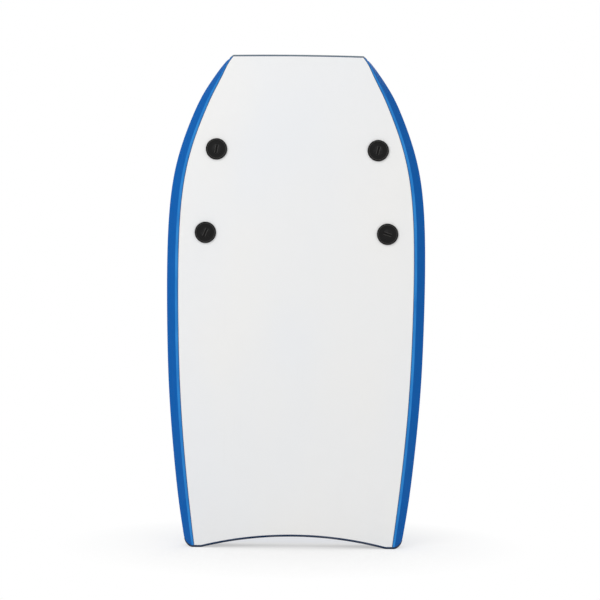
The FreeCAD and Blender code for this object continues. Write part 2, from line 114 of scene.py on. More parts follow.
def skinRings(rings, loop=False):
    # faces between neighbouring rings; the two ends are closed unless the rings form a loop
    wide, points, faces = len(rings[0]), [], []
    for ring in rings:
        points.extend(ring)
    last = len(rings) if loop else len(rings) - 1
    for i in range(last):
        low, high = i * wide, ((i + 1) % len(rings)) * wide
        for k in range(wide):
            after = (k + 1) % wide
            faces.append((low + k, low + after, high + after, high + k))
    if not loop:
        # each end is zipped from side to side, so that a curved end keeps its curve
        for start in (0, (len(rings) - 1) * wide):
            faces.append((start + wide - 1, start, start + wide - 2))
            for k in range(wide // 2 - 2):
                faces.append((start + k, start + k + 1, start + wide - 3 - k, start + wide - 2 - k))
            faces.append((start + wide // 2 - 2, start + wide // 2 - 1, start + wide // 2))
    return points, faces


def feed(tree, made, inputs):
    # links each input that is a socket, and sets the others
    for key, value in inputs.items():
        if isinstance(value, bpy.types.NodeSocket):
            tree.links.new(value, made.inputs[key])
        else:
            made.inputs[key].default_value = value
    return made


def addNode(tree, kind, settings=None, inputs=None):
    made = tree.nodes.new(kind)
    for key, value in (settings or {}).items():
        setattr(made, key, value)
    return feed(tree, made, inputs or {})


def newGroup(name, inputs, outputs, kind="ShaderNodeTree"):
    tree = bpy.data.node_groups.new(name, kind)
    for label, sort, value in inputs:
        socket = tree.interface.new_socket(label, in_out="INPUT", socket_type=f"NodeSocket{sort}")
        if value is not None:
            socket.default_value = value
    for label, sort in outputs:
        tree.interface.new_socket(label, in_out="OUTPUT", socket_type=f"NodeSocket{sort}")
    return tree, tree.nodes.new("NodeGroupInput"), tree.nodes.new("NodeGroupOutput")


def mathNode(tree, operation, a, b=0.0, clamp=False):
    made = addNode(tree, "ShaderNodeMath", {"operation": operation, "use_clamp": clamp}, {0: a, 1: b})
    return made.outputs[0]


def times(tree, a, b, clamp=False):
    return mathNode(tree, "MULTIPLY", a, b, clamp)


def plus(tree, a, b):
    return mathNode(tree, "ADD", a, b)


def mixColor(tree, amount, a, b):
    made = addNode(tree, "ShaderNodeMix", {"data_type": "RGBA", "clamp_factor": True})
    return feed(tree, made, {0: amount, 6: a, 7: b}).outputs[2]


def remap(tree, value, low, high, toLow=0.0, toHigh=1.0):
    made = addNode(tree, "ShaderNodeMapRange", {"clamp": True},
                   {"Value": value, "From Min": low, "From Max": high, "To Min": toLow, "To Max": toHigh})
    return made.outputs[0]


def scaled(tree, vector, scale):
    made = addNode(tree, "ShaderNodeVectorMath", {"operation": "MULTIPLY"}, {0: vector, 1: scale})
    return made.outputs[0]


def noise(tree, vector, scale, detail, rough=0.55):
    made = addNode(tree, "ShaderNodeTexNoise", None,
                   {"Vector": vector, "Scale": scale, "Detail": detail, "Roughness": rough})
    return made.outputs["Fac"]


def foamCellsGroup():
    # closed-cell foam: fine pitted cells with painted shade in the pits, soft mottling and a slow drift of
    # tone
    tree, given, made = newGroup(
        "foamCells",
        [("Vector", "Vector", None), ("Color", "Color", (0.5, 0.5, 0.5, 1)),
         ("Cells", "Float", 900.0), ("Mottle", "Float", 0.12), ("Pits", "Float", 0.5)],
        [("Color", "Color"), ("Roughness", "Float"), ("Height", "Float")])
    vector = given.outputs["Vector"]
    cells = addNode(tree, "ShaderNodeTexVoronoi", {"feature": "SMOOTH_F1"},
                    {"Vector": vector, "Scale": given.outputs["Cells"], "Smoothness": 0.35})
    pit = remap(tree, cells.outputs["Distance"], 0.1, 0.75)
    fine = noise(tree, vector, 320.0, 4.0)
    slow = noise(tree, vector, 9.0, 3.0)
    broad = noise(tree, vector, 2.3, 2.0)
    tone = plus(tree, times(tree, slow, 0.5), times(tree, fine, 0.25))
    tone = plus(tree, tone, times(tree, broad, 0.25))
    swing = times(tree, mathNode(tree, "SUBTRACT", tone, 0.5), given.outputs["Mottle"])
    bright = plus(tree, times(tree, swing, 2.0), 1.0)
    # the pits are painted darker: painted shade in the hollows between the cells
    shade = mathNode(tree, "SUBTRACT", bright, times(tree, pit, times(tree, given.outputs["Pits"], 0.08)))
    grey = addNode(tree, "ShaderNodeCombineXYZ", None, {0: shade, 1: shade, 2: shade})
    tinted = scaled(tree, given.outputs["Color"], grey.outputs[0])
    height = mathNode(tree, "SUBTRACT", times(tree, fine, 0.35), times(tree, pit, given.outputs["Pits"]))
    rough = remap(tree, slow, 0.3, 0.7, 0.52, 0.66)
    tree.links.new(tinted, made.inputs["Color"])
    tree.links.new(rough, made.inputs["Roughness"])
    tree.links.new(height, made.inputs["Height"])
    return tree


def edgeWearGroup():
    # a mask along convex edges, broken up so that it never runs as an even line
    tree, given, made = newGroup(
        "edgeWear",
        [("Vector", "Vector", None), ("Edge", "Float", 0.53), ("Amount", "Float", 0.5)],
        [("Mask", "Float")])
    shape = tree.nodes.new("ShaderNodeNewGeometry")
    edge = remap(tree, shape.outputs["Pointiness"], given.outputs["Edge"], 0.62)
    broken = remap(tree, noise(tree, given.outputs["Vector"], 70.0, 5.0, 0.65), 0.42, 0.66)
    mask = times(tree, times(tree, edge, broken), given.outputs["Amount"], clamp=True)
    tree.links.new(mask, made.inputs["Mask"])
    return tree


def beachDustGroup():
    # pale dust and dried salt, thicker towards the end that the board stands on
    tree, given, made = newGroup(
        "beachDust",
        [("Vector", "Vector", None), ("Reach", "Float", 0.35), ("Amount", "Float", 0.15)],
        [("Mask", "Float")])
    parts = addNode(tree, "ShaderNodeSeparateXYZ", None, {0: given.outputs["Vector"]})
    low = remap(tree, parts.outputs[2], 0.0, given.outputs["Reach"], 1.0, 0.25)
    patches = remap(tree, noise(tree, given.outputs["Vector"], 18.0, 6.0, 0.62), 0.45, 0.75)
    specks = remap(tree, noise(tree, given.outputs["Vector"], 420.0, 2.0), 0.6, 0.75)
    both = plus(tree, times(tree, patches, 0.7), times(tree, specks, 0.3))
    mask = times(tree, times(tree, both, low), given.outputs["Amount"], clamp=True)
    tree.links.new(mask, made.inputs["Mask"])
    return tree


def scuffsGroup():
    # long faint scratches, mostly along the board, and soft smudges
    tree, given, made = newGroup(
        "scuffs",
        [("Vector", "Vector", None), ("Density", "Float", 0.5)],
        [("Scratch", "Float"), ("Smudge", "Float")])
    long = scaled(tree, given.outputs["Vector"], (420.0, 420.0, 7.0))
    thin = remap(tree, noise(tree, long, 1.0, 2.0), 0.68, 0.74)
    where = remap(tree, noise(tree, given.outputs["Vector"], 6.0, 3.0), 0.5, 0.68)
    scratch = times(tree, times(tree, thin, where), given.outputs["Density"], clamp=True)
    smudge = remap(tree, noise(tree, given.outputs["Vector"], 3.2, 4.0, 0.6), 0.4, 0.7)
    tree.links.new(scratch, made.inputs["Scratch"])
    tree.links.new(smudge, made.inputs["Smudge"])
    return tree


def weaveGroup():
    # flat webbing: a herringbone of yarns across the strap, on a map in metres; its Shade is painted shade,
    # darker where the yarns dip, mixed with a random fuzz of tone
    tree, given, made = newGroup(
        "webWeave",
        [("Vector", "Vector", None), ("Pick", "Float", 0.0016)],
        [("Height", "Float"), ("Shade", "Float")])
    parts = addNode(tree, "ShaderNodeSeparateXYZ", None, {0: given.outputs["Vector"]})
    along = mathNode(tree, "DIVIDE", parts.outputs[0], given.outputs["Pick"])
    across = mathNode(tree, "DIVIDE", parts.outputs[1], given.outputs["Pick"])
    zig = mathNode(tree, "PINGPONG", across, 3.0)
    diagonal = mathNode(tree, "SINE", times(tree, plus(tree, along, zig), 2 * math.pi))
    warp = mathNode(tree, "SINE", times(tree, across, 2 * math.pi))
    yarn = plus(tree, times(tree, diagonal, 0.35), times(tree, warp, 0.15))
    height = plus(tree, yarn, 0.5)
    fuzz = noise(tree, given.outputs["Vector"], 2600.0, 2.0)
    shade = plus(tree, times(tree, height, 0.5), times(tree, fuzz, 0.5))
    tree.links.new(height, made.inputs["Height"])
    tree.links.new(shade, made.inputs["Shade"])
    return tree


foamCells, edgeWear, beachDust = foamCellsGroup(), edgeWearGroup(), beachDustGroup()
scuffs, webWeave = scuffsGroup(), weaveGroup()
print("shared effects built")


def startFinish(name, sockets):
    material = bpy.data.materials.new(name)
    material.use_nodes = True
    tree = material.node_tree
    shader = tree.nodes["Principled BSDF"]
    for key, value in sockets.items():
        shader.inputs[key].default_value = value
    place = tree.nodes.new("ShaderNodeTexCoord").outputs["Object"]
    return material, tree, shader, place


def useGroup(tree, group, inputs):
    made = tree.nodes.new("ShaderNodeGroup")
    made.node_tree = group
    return feed(tree, made, inputs)


def bumped(tree, shader, height, distance):
    bump = addNode(tree, "ShaderNodeBump", None, {"Strength": 1.0, "Distance": distance, "Height": height})
    tree.links.new(bump.outputs[0], shader.inputs["Normal"])


diamondSizes = {"gap": 5.5 * mm, "lean": 0.6, "groove": 0.45}


def foamFinish(name, color, cells, mottle, pits, wear, dust,
               creases=0.0, diamonds=0.0, rim=None, gloss=0.16):
    material, tree, shader, place = startFinish(name, {"Specular IOR Level": gloss})
    foam = useGroup(tree, foamCells, {"Vector": place, "Color": (*color, 1), "Cells": cells,
                                      "Mottle": mottle, "Pits": pits})
    rub = useGroup(tree, edgeWear, {"Vector": place, "Amount": wear})
    sand = useGroup(tree, beachDust, {"Vector": place, "Amount": dust})
    paler, shown = tuple(c + (0.55 - c) * 0.45 for c in color), foam.outputs["Color"]
    if rim:
        # the flat rim beside the slick, painted paler than the slope: a painted highlight where the flat rim
        # faces the light
        paintedLightBand = addNode(tree, "ShaderNodeAttribute", {"attribute_name": "rimBandPaintedLight"}).outputs["Fac"]
        uneven = noise(tree, scaled(tree, place, (60.0, 60.0, 14.0)), 1.0, 3.0)
        uneven = remap(tree, uneven, 0.25, 0.7, 0.45, 1.0)
        shown = mixColor(tree, times(tree, paintedLightBand, uneven), shown, (*rim, 1))
    shown = mixColor(tree, rub.outputs["Mask"], shown, (*paler, 1))
    shown = mixColor(tree, sand.outputs["Mask"], shown, (0.62, 0.58, 0.5, 1))
    tree.links.new(shown, shader.inputs["Base Color"])
    tree.links.new(foam.outputs["Roughness"], shader.inputs["Roughness"])
    height = times(tree, foam.outputs["Height"], 0.25)
    if creases:
        # shallow creases that run along the board, pressed in when the foam was wrapped
        drawn = scaled(tree, place, (95.0, 95.0, 5.5))
        fold = remap(tree, noise(tree, drawn, 1.0, 4.0, 0.6), 0.3, 0.75)
        height = plus(tree, height, times(tree, fold, creases))
    if diamonds:
        # the embossed diamonds of a deck
        parts = addNode(tree, "ShaderNodeSeparateXYZ", None, {0: place})
        rises = []
        for sign in (1.0, -1.0):
            slant = plus(tree, parts.outputs[0], times(tree, parts.outputs[2], diamondSizes["lean"] * sign))
            wave = mathNode(tree, "SINE", times(tree, slant, math.pi / diamondSizes["gap"]))
            wave = mathNode(tree, "ABSOLUTE", wave)
            rises.append(remap(tree, wave, 0.0, diamondSizes["groove"]))
        height = plus(tree, height, times(tree, times(tree, rises[0], rises[1]), diamonds))
    bumped(tree, shader, height, 0.8 * mm)
    return material


def slickFinish():
    material, tree, shader, place = startFinish(
        "slickSheet", {"Specular IOR Level": 0.4, "Coat Weight": 0.12, "Coat Roughness": 0.25})
    marks = useGroup(tree, scuffs, {"Vector": place, "Density": 0.5})
    sand = useGroup(tree, beachDust, {"Vector": place, "Reach": 0.3, "Amount": 0.05})
    tone = noise(tree, scaled(tree, place, (3.0, 3.0, 1.6)), 1.0, 2.0)
    warm = remap(tree, tone, 0.35, 0.65)
    shown = mixColor(tree, warm, (0.80, 0.812, 0.83, 1), (0.832, 0.826, 0.812, 1))
    shown = mixColor(tree, times(tree, marks.outputs["Scratch"], 0.25), shown, (0.62, 0.62, 0.61, 1))
    shown = mixColor(tree, sand.outputs["Mask"], shown, (0.66, 0.62, 0.54, 1))
    tree.links.new(shown, shader.inputs["Base Color"])
    rough = plus(tree, times(tree, marks.outputs["Smudge"], 0.12), 0.34)
    rough = plus(tree, rough, times(tree, marks.outputs["Scratch"], 0.25))
    tree.links.new(rough, shader.inputs["Roughness"])
    wavy = noise(tree, scaled(tree, place, (11.0, 11.0, 6.0)), 1.0, 2.0)
    pebble = noise(tree, place, 700.0, 2.0)
    height = plus(tree, wavy, times(tree, pebble, 0.035))
    height = mathNode(tree, "SUBTRACT", height, times(tree, marks.outputs["Scratch"], 0.06))
    bumped(tree, shader, height, 0.9 * mm)
    return material


def plugFinish():
    material, tree, shader, place = startFinish("plugPlastic", {"Specular IOR Level": 0.13})
    rub = useGroup(tree, edgeWear, {"Vector": place, "Edge": 0.52, "Amount": 0.6})
    sand = useGroup(tree, beachDust, {"Vector": place, "Reach": 1.2, "Amount": 0.03})
    grain = noise(tree, place, 1500.0, 3.0)
    swirl = noise(tree, place, 60.0, 3.0)
    shown = mixColor(tree, swirl, (0.005, 0.0048, 0.0048, 1), (0.009, 0.0088, 0.0088, 1))
    shown = mixColor(tree, rub.outputs["Mask"], shown, (0.06, 0.06, 0.062, 1))
    shown = mixColor(tree, sand.outputs["Mask"], shown, (0.2, 0.19, 0.17, 1))
    tree.links.new(shown, shader.inputs["Base Color"])
    tree.links.new(remap(tree, swirl, 0.3, 0.7, 0.36, 0.5), shader.inputs["Roughness"])
    bumped(tree, shader, grain, 0.05 * mm)
    return material


def webbingFinish():
    material, tree, shader, place = startFinish(
        "webbing", {"Specular IOR Level": 0.25, "Sheen Weight": 0.3, "Sheen Roughness": 0.45})
    strapMap = addNode(tree, "ShaderNodeUVMap", {"uv_map": "strapMap"}).outputs[0]
    cloth = useGroup(tree, webWeave, {"Vector": strapMap, "Pick": 0.0016})
    sand = useGroup(tree, beachDust, {"Vector": place, "Reach": 1.5, "Amount": 0.12})
    # the webbing is painted darker where its yarns dip: painted shade, with a random fuzz of tone
    shown = mixColor(tree, cloth.outputs["Shade"], (0.006, 0.0065, 0.008, 1), (0.03, 0.031, 0.035, 1))
    shown = mixColor(tree, sand.outputs["Mask"], shown, (0.3, 0.28, 0.24, 1))
    tree.links.new(shown, shader.inputs["Base Color"])
    tree.links.new(remap(tree, cloth.outputs["Shade"], 0.2, 0.8, 0.62, 0.8), shader.inputs["Roughness"])
    bumped(tree, shader, cloth.outputs["Height"], 0.35 * mm)
    return material


def plainFinish(name, dark, light, rough, grainSize, rise):
    material, tree, shader, place = startFinish(name, {"Specular IOR Level": 0.3})
    grain = noise(tree, place, grainSize, 3.0)
    tree.links.new(mixColor(tree, grain, (*dark, 1), (*light, 1)), shader.inputs["Base Color"])
    tree.links.new(remap(tree, grain, 0.3, 0.7, rough - 0.06, rough + 0.06), shader.inputs["Roughness"])
    bumped(tree, shader, grain, rise)
    return material


slickSheet = slickFinish()
# the rim colour is a paler blue, a painted highlight on the rail's flat rim
railFoam = foamFinish("railFoam", (0.002, 0.105, 0.40), 1100.0, 0.16, 0.35, wear=0.2, dust=0.02, creases=0.6,
                      rim=(0.035, 0.25, 0.64), gloss=0.05)
deckFoam = foamFinish("deckFoam", (0.008, 0.105, 0.36), 800.0, 0.12, 0.55, wear=0.3, dust=0.05,
                      diamonds=0.6, gloss=0.08)
tailFoam = foamFinish("tailFoam", (0.006, 0.018, 0.05), 1000.0, 0.14, 0.4, wear=0.5, dust=0.15)
noseFoam = foamFinish("noseFoam", (0.17, 0.215, 0.245), 1000.0, 0.12, 0.4, wear=0.4, dust=0.05)
coreFoam = foamFinish("coreFoam", (0.78, 0.78, 0.74), 420.0, 0.08, 0.9, wear=0.0, dust=0.0)
gripFoam = foamFinish("gripFoam", (0.012, 0.012, 0.013), 1300.0, 0.2, 0.8, wear=0.35, dust=0.08)
plugPlastic, webbing = plugFinish(), webbingFinish()
seamFilm = plainFinish("seamFilm", (0.01, 0.035, 0.1), (0.02, 0.06, 0.15), 0.45, 300.0, 0.05 * mm)
# paler plastic for the plugs' rim rings and slot lips: a painted highlight on their raised edges
paintedHighlightPlastic = plainFinish("paintedHighlightPlastic", (0.022, 0.021, 0.02), (0.06, 0.057, 0.054), 0.38, 520.0, 0.05 * mm)
stitchThread = plainFinish("stitchThread", (0.02, 0.1, 0.3), (0.05, 0.19, 0.45), 0.6, 2500.0, 0.1 * mm)
print("finishes ready")


def dressNode(name, material):
    # a node that keeps its own shape and takes a better material
    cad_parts[name].data.materials.clear()
    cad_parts[name].data.materials.append(material)


boardSizes = {
    "upperChine": 21 * mm, "railBand": 25.3 * mm, "railRim": 6.4 * mm, "apex": 10 * mm,
    "deckSkin": 4 * mm, "slickSheet": 1 * mm, "glue": 0.15 * mm,
    "rockerRise": 12 * mm, "rockerLength": 172 * mm,
    "sharpFrom": 38, "dropWithin": 0.001 * mm, "mergeWithin": 0.002 * mm,
    # station along the board, then the half-width and the rail's band there as shares of the widest
    "outline": [(0, 0.835, 0.81), (0.08, 0.885, 0.93), (0.18, 0.9306, 0.97), (0.32, 0.9755, 1),
                (0.46, 0.9956, 1), (0.6, 0.9991, 1), (0.7, 0.981, 1), (0.77, 0.942, 1),
                (0.835, 0.8718, 0.98), (0.88, 0.8067, 0.97), (0.92, 0.7358, 0.91),
                (0.96, 0.6408, 0.68), (0.985, 0.571, 0.43), (1, 0.5206, 0.33)],
}

tailLow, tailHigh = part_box("tail_strip")
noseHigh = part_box("nose_strip")[1]
slickY, deckY = tailLow.y, tailHigh.y
boardLength = noseHigh.z
thickness = deckY - slickY
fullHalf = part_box("right_rail")[1].x
apexLow = (thickness - boardSizes["apex"]) / 2
apexHigh = (thickness + boardSizes["apex"]) / 2


def smoothThrough(stations, values):
    # the natural cubic curve through the outline's stations
    count, gaps = len(stations), np.diff(stations)
    left, right = np.zeros((count, count)), np.zeros(count)
    left[0, 0] = left[-1, -1] = 1
    for i in range(1, count - 1):
        left[i, i - 1:i + 2] = gaps[i - 1], 2 * (gaps[i - 1] + gaps[i]), gaps[i]
        right[i] = 6 * ((values[i + 1] - values[i]) / gaps[i] - (values[i] - values[i - 1]) / gaps[i - 1])
    bend = np.linalg.solve(left, right)

    def at(station):
        i = int(np.clip(np.searchsorted(stations, station) - 1, 0, count - 2))
        h, a, b = gaps[i], stations[i + 1] - station, station - stations[i]
        return float((bend[i] * a**3 + bend[i + 1] * b**3) / (6 * h)
                     + (values[i] / h - bend[i] * h / 6) * a + (values[i + 1] / h - bend[i + 1] * h / 6) * b)
    return at


stations, widths, bands = (np.array(column, float) for column in zip(*boardSizes["outline"]))
widthShare, bandShare = smoothThrough(stations, widths), smoothThrough(stations, bands)
widest = max(widthShare(s / 400) for s in range(401))


def halfWidth(s):
    return fullHalf * widthShare(s) / widest


def slickEdge(s):
    return halfWidth(s) - boardSizes["railBand"] * bandShare(s)


def rimEdge(s):
    return slickEdge(s) + boardSizes["railRim"] * bandShare(s)


def upperSlope(s, y):
    return halfWidth(s) - boardSizes["upperChine"] * bandShare(s) * (y - apexHigh) / (thickness - apexHigh)


def rocker(s):
    return boardSizes["rockerRise"] * max(1 - (1 - s) * boardLength / boardSizes["rockerLength"], 0) ** 2


def onBoard(x, y, s):
    # a place on the board, from its depth off the slick and its station
    return Vector((x, slickY + y + rocker(s), s * boardLength))


endSizes = {
    "tailDepth": 24 * mm, "tailTip": 194 * mm, "tailStrip": 4 * mm, "tailCorner": 18 * mm,
    "noseBow": 1.5 * mm, "noseStrip": 3 * mm, "noseCorner": 12 * mm, "softEdge": 0.9 * mm,
    "hiddenEdge": 0.2 * mm, "sharpFrom": 40, "stripRings": 150,
}


def cornerOf(station, radius):
    # centre and far end of the arc between an end line and the outline
    inward = 1 if station < 0.5 else -1
    step = 0.002 * inward
    slope = (halfWidth(station + step) - halfWidth(station)) / (0.002 * boardLength)
    lean = math.hypot(1, slope)
    centre = halfWidth(station) + slope * radius - lean * radius
    return centre, centre + radius / lean


tailCentre, tailEnd = cornerOf(0.0, endSizes["tailCorner"])
noseCentre, noseEnd = cornerOf(1.0, endSizes["noseCorner"])


def tailLine(x):
    tip, depth = endSizes["tailTip"], endSizes["tailDepth"]
    x = abs(x)
    if x < tip:
        radius = (tip**2 + depth**2) / (2 * depth)
        return depth - radius + math.sqrt(radius**2 - x**2)
    reach, radius = max(x - tailCentre, 0), endSizes["tailCorner"]
    return radius - math.sqrt(max(radius**2 - reach**2, 0))


def noseLine(x):
    bow, x = endSizes["noseBow"], abs(x)
    radius = (noseCentre**2 + bow**2) / (2 * bow)
    line = boardLength - radius + math.sqrt(radius**2 - min(x, noseCentre)**2)
    reach, corner = max(x - noseCentre, 0), endSizes["noseCorner"]
    return line - corner + math.sqrt(max(corner**2 - reach**2, 0))


def insideEnds(ring, atTail, atNose):
    # pulls a ring's points to the tail's or nose's line where they lie beyond it
    moved = []
    for p in ring:
        low, high = tailLine(min(abs(p.x), tailEnd)) + atTail, noseLine(min(abs(p.x), noseEnd)) - atNose
        z = min(max(p.z, low), high)
        moved.append(Vector((p.x, p.y - rocker(p.z / boardLength) + rocker(z / boardLength), z)))
    return moved


def stationList(count, first=0.0, last=1.0):
    # closer together where the tail curves in and at the nose
    spread = [0.5 - 0.5 * math.cos(math.pi * i / count) for i in range(count + 1)]
    return [first + (last - first) * (0.55 * t + 0.45 * i / count) for i, t in enumerate(spread)]


def alongBoard(name, section, material, count):
    atTail = endSizes["tailStrip"] + boardSizes["glue"]
    atNose = endSizes["noseStrip"] + boardSizes["glue"]
    rings = []
    for s in stationList(count):
        ring = [onBoard(p.x, p.y, s) for p in section(s)]
        rings.append(insideEnds(ring, atTail, atNose))
    points, faces = skinRings(rings)
    mesh = meshFrom(name, points, faces)
    shape = bmesh.new()
    shape.from_mesh(mesh)
    bmesh.ops.dissolve_degenerate(shape, dist=boardSizes["dropWithin"], edges=shape.edges)
    bmesh.ops.remove_doubles(shape, verts=shape.verts, dist=boardSizes["mergeWithin"])
    bmesh.ops.recalc_face_normals(shape, faces=shape.faces)
    shape.to_mesh(mesh)
    shape.free()
    mesh.polygons.foreach_set("use_smooth", [True] * len(mesh.polygons))
    sharpenBy(mesh, boardSizes["sharpFrom"])
    return addPiece(name, mesh, material)


railSizes = {"rimSoft": 1.3 * mm, "innerSoft": 0.7 * mm, "apexSoft": 6 * mm, "topSoft": 0.6 * mm,
             "bandDepth": 0.5 * mm, "bandInset": 0.2 * mm, "rings": 190}


def railSection(side):
    def section(s):
        glue, top = boardSizes["glue"], thickness - boardSizes["deckSkin"] - boardSizes["glue"]
        corners = [(slickEdge(s) + glue, 0), (rimEdge(s), 0), (halfWidth(s), apexLow),
                   (halfWidth(s), apexHigh), (upperSlope(s, top), top), (slickEdge(s) + glue, top)]
        radii = [railSizes["innerSoft"], railSizes["rimSoft"], railSizes["apexSoft"], railSizes["apexSoft"],
                 railSizes["topSoft"], railSizes["topSoft"]]
        ring = softRing(corners, radii, 4, (2, 8, 1, 5, 3, 5))
        return [Vector((side * p.x, p.y)) for p in ring]
    return section


for sideName, side in (("left", -1), ("right", 1)):
    rail = alongBoard(f"{sideName}RailFoam", railSection(side), railFoam, railSizes["rings"])
    # the flat rim's points are marked to carry the rail's painted highlight
    paintedLightBand = rail.data.attributes.new("rimBandPaintedLight", "FLOAT", "POINT")
    for i, vertex in enumerate(rail.data.vertices):
        s = min(max(vertex.co.z / boardLength, 0), 1)
        level = vertex.co.y - slickY - rocker(s) < railSizes["bandDepth"]
        inside = abs(vertex.co.x) < rimEdge(s) - railSizes["bandInset"]
        paintedLightBand.data[i].value = 1.0 if level and inside else 0.0
    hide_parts(f"{sideName}_rail")
    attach(rail, "board")
print("rails made")

deckSizes = {"edgeSoft": 1.6 * mm, "underSoft": 0.3 * mm, "coreSoft": 0.3 * mm, "rings": 150, "coreRings": 90}
plugBore = {"radius": 8.3 * mm, "sides": 48, "depth": 300 * mm, "mergeWithin": 0.02 * mm}


def acrossBoard(half, low, high, radii, extra):
    corners = [(-half[0], low), (half[0], low), (half[1], high), (-half[1], high)]
    return softRing(corners, radii, 3, (extra, 1, extra, 1))


def coreSection(s):
    edge, glue = slickEdge(s), boardSizes["glue"]
    low, high = boardSizes["slickSheet"] + glue, thickness - boardSizes["deckSkin"] - glue
    return acrossBoard((edge, edge), low, high, [deckSizes["coreSoft"]] * 4, 30)


def deckSection(s):
    low = thickness - boardSizes["deckSkin"]
    soft, under = deckSizes["edgeSoft"], deckSizes["underSoft"]
    half = upperSlope(s, low), upperSlope(s, thickness)
    return acrossBoard(half, low, thickness, [under, under, soft, soft], 44)


def drill(piece, places):
    # bores the plug holes through a piece, along its depth
    holes = []
    for x, z in places:
        hole = bmesh.new()
        turn = Matrix.Translation((x, (slickY + deckY) / 2, z)) @ Matrix.Rotation(math.pi / 2, 4, "X")
        bmesh.ops.create_cone(hole, cap_ends=True, segments=plugBore["sides"], radius1=plugBore["radius"],
                              radius2=plugBore["radius"], depth=plugBore["depth"], matrix=turn)
        mesh = bpy.data.meshes.new("hole")
        hole.to_mesh(mesh)
        hole.free()
        holes.append(addPiece("hole", mesh, None))
        cut = piece.modifiers.new("cut", "BOOLEAN")
        cut.operation, cut.object, cut.solver = "DIFFERENCE", holes[-1], "EXACT"
    bpy.context.view_layer.update()
    bored = bpy.data.meshes.new_from_object(piece.evaluated_get(bpy.context.evaluated_depsgraph_get()))
    piece.modifiers.clear()
    shape = bmesh.new()
    shape.from_mesh(bored)
    bmesh.ops.remove_doubles(shape, verts=shape.verts, dist=plugBore["mergeWithin"])
    bmesh.ops.dissolve_degenerate(shape, dist=plugBore["mergeWithin"], edges=shape.edges)
    shape.to_mesh(bored)
    shape.free()
    piece.data = bored
    for hole in holes:
        bpy.data.objects.remove(hole)


plugNames = [f"{side}_{end}" for side in ("left", "right") for end in ("front", "rear")]
plugPlaces = {}
for name in plugNames:
    low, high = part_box(f"{name}_slotted_plug")
    plugPlaces[name] = ((low.x + high.x) / 2, (low.z + high.z) / 2)

core = alongBoard("foamCore", coreSection, coreFoam, deckSizes["coreRings"])
drill(core, plugPlaces.values())
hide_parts("foam_core")
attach(core, "board")

deck = alongBoard("deckSkin", deckSection, deckFoam, deckSizes["rings"])
drill(deck, plugPlaces.values())
sharpenBy(deck.data, boardSizes["sharpFrom"])
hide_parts("deck_skin")
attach(deck, "board")
print("core and deck made")


def depthAt(x, z):
    # how deep the board is at a place near an end, from the slick side
    s = min(max(z / boardLength, 0), 1)
    x, rim, half, edge = abs(x), rimEdge(s), halfWidth(s), upperSlope(s, thickness)
    low = apexLow * min(max((x - rim) / max(half - rim, 1e-6), 0), 1)
    high = thickness - (thickness - apexHigh) * min(max((x - edge) / max(half - edge, 1e-6), 0), 1)
    return slickY + rocker(s) + low, slickY + rocker(s) + high


def endStrip(name, line, end, wide, material):
    rings, count = [], endSizes["stripRings"]
    for i in range(count + 1):
        x = end * math.sin(math.pi * (i / count - 0.5)) * 0.9995
        outer, inner = line(x), line(x) + wide
        low, high = depthAt(x, outer)
        low2, high2 = depthAt(x, inner)
        corners = [(low, outer), (high, outer), (high2, inner), (low2, inner)]
        outside, hidden = endSizes["softEdge"], endSizes["hiddenEdge"]
        ring = softRing(corners, [outside, outside, hidden, hidden], 4, (14, 0, 14, 0))
        rings.append([Vector((x, p.x, p.y)) for p in ring])
    points, faces = skinRings(rings)
    mesh = meshFrom(name, points, faces)
    sharpenBy(mesh, endSizes["sharpFrom"])
    strip = addPiece(name, mesh, material)
    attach(strip, "board")
    return strip


tailStrip = endStrip("tailStrip", tailLine, tailEnd, endSizes["tailStrip"], tailFoam)
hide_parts("tail_strip")
noseStrip = endStrip("noseStrip", noseLine, noseEnd, -endSizes["noseStrip"], noseFoam)
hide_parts("nose_strip")
print("tail and nose strips made")


def endTree(tree, given, made, grown, smooth):
    # every tree ends in real geometry with its material set
    grown = addNode(tree, "GeometryNodeRealizeInstances", None, {0: grown}).outputs[0]
    if smooth:
        grown = addNode(tree, "GeometryNodeSetShadeSmooth", None, {0: grown}).outputs[0]
    done = addNode(tree, "GeometryNodeSetMaterial", None,
                   {"Geometry": grown, "Material": given.outputs["Finish"]})
    tree.links.new(done.outputs[0], made.inputs[0])
    return tree


def beadTree():
    # a bead of even size laid along a path
    tree, given, made = newGroup(
        "seamBead",
        [("Path", "Geometry", None), ("Radius", "Float", 0.0006), ("Sides", "Int", 8),
         ("Finish", "Material", None)],
        [("Geometry", "Geometry")], "GeometryNodeTree")
    curve = addNode(tree, "GeometryNodeMeshToCurve", None, {"Mesh": given.outputs["Path"]})
    ring = addNode(tree, "GeometryNodeCurvePrimitiveCircle", None,
                   {"Resolution": given.outputs["Sides"], "Radius": given.outputs["Radius"]})
    tube = addNode(tree, "GeometryNodeCurveToMesh", None,
                   {"Curve": curve.outputs[0], "Profile Curve": ring.outputs[0], "Fill Caps": True})
    return endTree(tree, given, made, tube.outputs[0], False)


